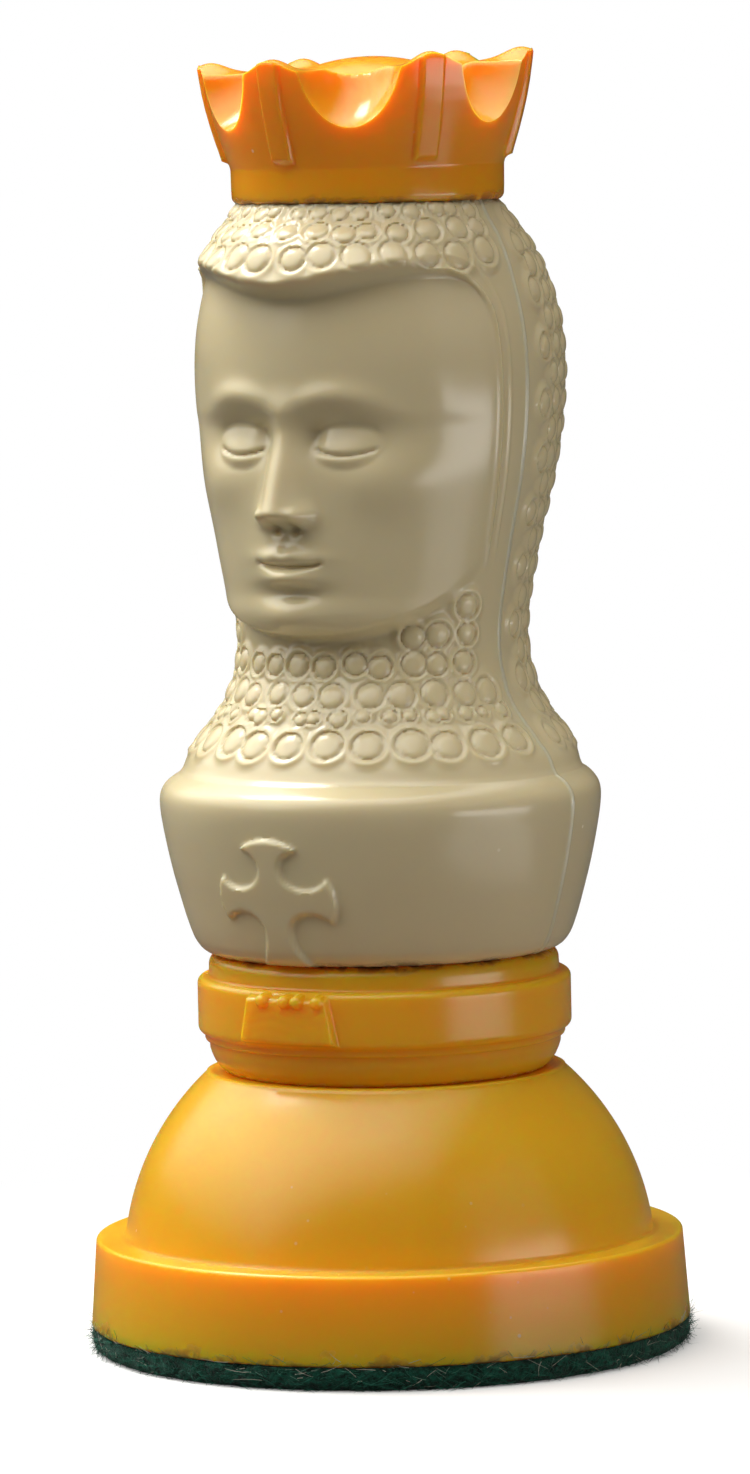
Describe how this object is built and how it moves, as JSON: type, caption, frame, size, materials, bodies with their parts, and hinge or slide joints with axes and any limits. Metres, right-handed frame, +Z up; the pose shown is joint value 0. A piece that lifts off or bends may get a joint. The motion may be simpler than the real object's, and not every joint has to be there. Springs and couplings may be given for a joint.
{
  "type": "chess piece",
  "caption": "Figural chess queen: a crowned, hooded head over a drum with a cross in relief, a stepped neck ring and a domed, weighted, felted foot.",
  "frame": {"origin": "centre of the felt's underside, on the board", "axes": "+Z up through the crown; the face and the cross look along -Y; +X is to a viewer's right who faces the queen"},
  "size_m": [0.045, 0.045, 0.0969],
  "materials": {
    "amber_plastic": "translucent moulded plastic, glossy, with fine scratches",
    "ivory_plastic": "translucent moulded plastic, glossy, with a flash line at the sides",
    "green_felt": "pressed wool felt, a little linty",
    "grey_card": "plain grey card",
    "cast_weight": "as cast"
  },
  "bodies": {
    "root": {"felt_pad": "green_felt", "closing_disc": "grey_card", "ballast_weight": "cast_weight", "base_shell": "amber_plastic", "neck_ring": "amber_plastic", "bust_front_shell": "ivory_plastic", "bust_rear_shell": "ivory_plastic", "crown": "amber_plastic"}
  },
  "joints": []
}
